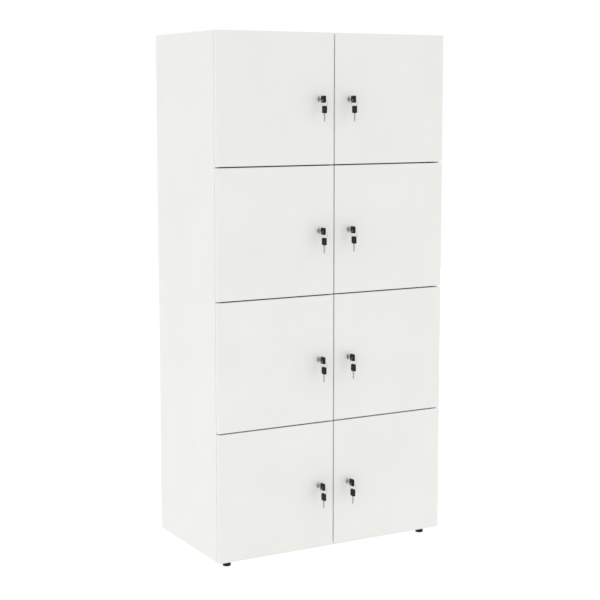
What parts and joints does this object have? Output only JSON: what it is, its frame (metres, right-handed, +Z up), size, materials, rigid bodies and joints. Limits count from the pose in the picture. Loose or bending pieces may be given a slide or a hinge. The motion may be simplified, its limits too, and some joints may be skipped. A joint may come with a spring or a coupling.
{
  "type": "parcel locker",
  "caption": "Free-standing white board locker cabinet with two columns of square doors, each with a keyed cam lock and a spare key, on short levelling feet.",
  "frame": {"origin": "centre of the footprint at floor level, with the keys that stand out of the doors counted in the footprint", "axes": "+Z up, +X to the viewer's right when facing the doors, +Y from the doors to the back"},
  "size_m": [0.8, 0.4758, 1.622],
  "materials": {
    "white_board": "smooth satin white melamine on chipboard",
    "black_plastic": "fine moulded texture",
    "chrome": "polished plating",
    "nickel": "satin nickel",
    "zinc_steel": "bright zinc plating"
  },
  "bodies": {
    "cabinet": {"side_panel_left": "white_board", "side_panel_right": "white_board", "top_panel": "white_board", "bottom_panel": "white_board", "back_panel": "white_board", "partition": "white_board", "shelf_left_1": "white_board", "shelf_right_1": "white_board", "shelf_left_2": "white_board", "shelf_right_2": "white_board", "shelf_left_3": "white_board", "shelf_right_3": "white_board", "foot_socket_front_left": "zinc_steel", "foot_socket_front_right": "zinc_steel", "foot_socket_rear_left": "zinc_steel", "foot_socket_rear_right": "zinc_steel"},
    "door_left_1": {"door_left_1": "white_board", "lock_housing_left_1": "chrome"},
    "lock_core_left_1": {"key_and_plug_left_1": "nickel", "cam_left_1": "zinc_steel"},
    "spare_key_left_1": {"spare_key_left_1": "black_plastic"},
    "door_left_2": {"door_left_2": "white_board", "lock_housing_left_2": "chrome"},
    "lock_core_left_2": {"key_and_plug_left_2": "nickel", "cam_left_2": "zinc_steel"},
    "spare_key_left_2": {"spare_key_left_2": "black_plastic"},
    "door_left_3": {"door_left_3": "white_board", "lock_housing_left_3": "chrome"},
    "lock_core_left_3": {"key_and_plug_left_3": "nickel", "cam_left_3": "zinc_steel"},
    "spare_key_left_3": {"spare_key_left_3": "black_plastic"},
    "door_left_4": {"door_left_4": "white_board", "lock_housing_left_4": "chrome"},
    "lock_core_left_4": {"key_and_plug_left_4": "nickel", "cam_left_4": "zinc_steel"},
    "spare_key_left_4": {"spare_key_left_4": "black_plastic"},
    "door_right_1": {"door_right_1": "white_board", "lock_housing_right_1": "chrome"},
    "lock_core_right_1": {"key_and_plug_right_1": "nickel", "cam_right_1": "zinc_steel"},
    "spare_key_right_1": {"spare_key_right_1": "black_plastic"},
    "door_right_2": {"door_right_2": "white_board", "lock_housing_right_2": "chrome"},
    "lock_core_right_2": {"key_and_plug_right_2": "nickel", "cam_right_2": "zinc_steel"},
    "spare_key_right_2": {"spare_key_right_2": "black_plastic"},
    "door_right_3": {"door_right_3": "white_board", "lock_housing_right_3": "chrome"},
    "lock_core_right_3": {"key_and_plug_right_3": "nickel", "cam_right_3": "zinc_steel"},
    "spare_key_right_3": {"spare_key_right_3": "black_plastic"},
    "door_right_4": {"door_right_4": "white_board", "lock_housing_right_4": "chrome"},
    "lock_core_right_4": {"key_and_plug_right_4": "nickel", "cam_right_4": "zinc_steel"},
    "spare_key_right_4": {"spare_key_right_4": "black_plastic"},
    "foot_front_left": {"levelling_foot_front_left": "black_plastic"},
    "foot_front_right": {"levelling_foot_front_right": "black_plastic"},
    "foot_rear_left": {"levelling_foot_rear_left": "black_plastic"},
    "foot_rear_right": {"levelling_foot_rear_right": "black_plastic"}
  },
  "joints": [
    {"name": "door_hinge_left_1", "type": "hinge", "parent": "cabinet", "child": "door_left_1", "pos_m": [-0.4, -0.19612, 1.422], "axis": [0, 0, -1], "range_deg": [0, 110]},
    {"name": "key_turn_left_1", "type": "hinge", "parent": "door_left_1", "child": "lock_core_left_1", "pos_m": [-0.053, -0.19612, 1.422], "axis": [0, -1, 0], "range_deg": [0, 90]},
    {"name": "spare_hang_left_1", "type": "hinge", "parent": "lock_core_left_1", "child": "spare_key_left_1", "pos_m": [-0.053, -0.22712, 1.4107], "axis": [0, -1, 0], "range_deg": [-90, 0]},
    {"name": "door_hinge_left_2", "type": "hinge", "parent": "cabinet", "child": "door_left_2", "pos_m": [-0.4, -0.19612, 1.022], "axis": [0, 0, -1], "range_deg": [0, 110]},
    {"name": "key_turn_left_2", "type": "hinge", "parent": "door_left_2", "child": "lock_core_left_2", "pos_m": [-0.053, -0.19612, 1.022], "axis": [0, -1, 0], "range_deg": [0, 90]},
    {"name": "spare_hang_left_2", "type": "hinge", "parent": "lock_core_left_2", "child": "spare_key_left_2", "pos_m": [-0.053, -0.22712, 1.0107], "axis": [0, -1, 0], "range_deg": [-90, 0]},
    {"name": "door_hinge_left_3", "type": "hinge", "parent": "cabinet", "child": "door_left_3", "pos_m": [-0.4, -0.19612, 0.622], "axis": [0, 0, -1], "range_deg": [0, 110]},
    {"name": "key_turn_left_3", "type": "hinge", "parent": "door_left_3", "child": "lock_core_left_3", "pos_m": [-0.053, -0.19612, 0.622], "axis": [0, -1, 0], "range_deg": [0, 90]},
    {"name": "spare_hang_left_3", "type": "hinge", "parent": "lock_core_left_3", "child": "spare_key_left_3", "pos_m": [-0.053, -0.22712, 0.6107], "axis": [0, -1, 0], "range_deg": [-90, 0]},
    {"name": "door_hinge_left_4", "type": "hinge", "parent": "cabinet", "child": "door_left_4", "pos_m": [-0.4, -0.19612, 0.222], "axis": [0, 0, -1], "range_deg": [0, 110]},
    {"name": "key_turn_left_4", "type": "hinge", "parent": "door_left_4", "child": "lock_core_left_4", "pos_m": [-0.053, -0.19612, 0.222], "axis": [0, -1, 0], "range_deg": [0, 90]},
    {"name": "spare_hang_left_4", "type": "hinge", "parent": "lock_core_left_4", "child": "spare_key_left_4", "pos_m": [-0.053, -0.22712, 0.2107], "axis": [0, -1, 0], "range_deg": [-90, 0]},
    {"name": "door_hinge_right_1", "type": "hinge", "parent": "cabinet", "child": "door_right_1", "pos_m": [0.4, -0.19612, 1.422], "axis": [0, 0, 1], "range_deg": [0, 110]},
    {"name": "key_turn_right_1", "type": "hinge", "parent": "door_right_1", "child": "lock_core_right_1", "pos_m": [0.053, -0.19612, 1.422], "axis": [0, 1, 0], "range_deg": [0, 90]},
    {"name": "spare_hang_right_1", "type": "hinge", "parent": "lock_core_right_1", "child": "spare_key_right_1", "pos_m": [0.053, -0.22712, 1.4107], "axis": [0, 1, 0], "range_deg": [-90, 0]},
    {"name": "door_hinge_right_2", "type": "hinge", "parent": "cabinet", "child": "door_right_2", "pos_m": [0.4, -0.19612, 1.022], "axis": [0, 0, 1], "range_deg": [0, 110]},
    {"name": "key_turn_right_2", "type": "hinge", "parent": "door_right_2", "child": "lock_core_right_2", "pos_m": [0.053, -0.19612, 1.022], "axis": [0, 1, 0], "range_deg": [0, 90]},
    {"name": "spare_hang_right_2", "type": "hinge", "parent": "lock_core_right_2", "child": "spare_key_right_2", "pos_m": [0.053, -0.22712, 1.0107], "axis": [0, 1, 0], "range_deg": [-90, 0]},
    {"name": "door_hinge_right_3", "type": "hinge", "parent": "cabinet", "child": "door_right_3", "pos_m": [0.4, -0.19612, 0.622], "axis": [0, 0, 1], "range_deg": [0, 110]},
    {"name": "key_turn_right_3", "type": "hinge", "parent": "door_right_3", "child": "lock_core_right_3", "pos_m": [0.053, -0.19612, 0.622], "axis": [0, 1, 0], "range_deg": [0, 90]},
    {"name": "spare_hang_right_3", "type": "hinge", "parent": "lock_core_right_3", "child": "spare_key_right_3", "pos_m": [0.053, -0.22712, 0.6107], "axis": [0, 1, 0], "range_deg": [-90, 0]},
    {"name": "door_hinge_right_4", "type": "hinge", "parent": "cabinet", "child": "door_right_4", "pos_m": [0.4, -0.19612, 0.222], "axis": [0, 0, 1], "range_deg": [0, 110]},
    {"name": "key_turn_right_4", "type": "hinge", "parent": "door_right_4", "child": "lock_core_right_4", "pos_m": [0.053, -0.19612, 0.222], "axis": [0, 1, 0], "range_deg": [0, 90]},
    {"name": "spare_hang_right_4", "type": "hinge", "parent": "lock_core_right_4", "child": "spare_key_right_4", "pos_m": [0.053, -0.22712, 0.2107], "axis": [0, 1, 0], "range_deg": [-90, 0]},
    {"name": "foot_height_front_left", "type": "slide", "parent": "cabinet", "child": "foot_front_left", "axis": [0, 0, 1], "range_m": [-0.006, 0]},
    {"name": "foot_height_front_right", "type": "slide", "parent": "cabinet", "child": "foot_front_right", "axis": [0, 0, 1], "range_m": [-0.006, 0]},
    {"name": "foot_height_rear_left", "type": "slide", "parent": "cabinet", "child": "foot_rear_left", "axis": [0, 0, 1], "range_m": [-0.006, 0]},
    {"name": "foot_height_rear_right", "type": "slide", "parent": "cabinet", "child": "foot_rear_right", "axis": [0, 0, 1], "range_m": [-0.006, 0]}
  ],
  "couplings": [
    {"joint": "spare_hang_left_1", "follows": "key_turn_left_1", "ratio": -1},
    {"joint": "spare_hang_left_2", "follows": "key_turn_left_2", "ratio": -1},
    {"joint": "spare_hang_left_3", "follows": "key_turn_left_3", "ratio": -1},
    {"joint": "spare_hang_left_4", "follows": "key_turn_left_4", "ratio": -1},
    {"joint": "spare_hang_right_1", "follows": "key_turn_right_1", "ratio": -1},
    {"joint": "spare_hang_right_2", "follows": "key_turn_right_2", "ratio": -1},
    {"joint": "spare_hang_right_3", "follows": "key_turn_right_3", "ratio": -1},
    {"joint": "spare_hang_right_4", "follows": "key_turn_right_4", "ratio": -1}
  ]
}
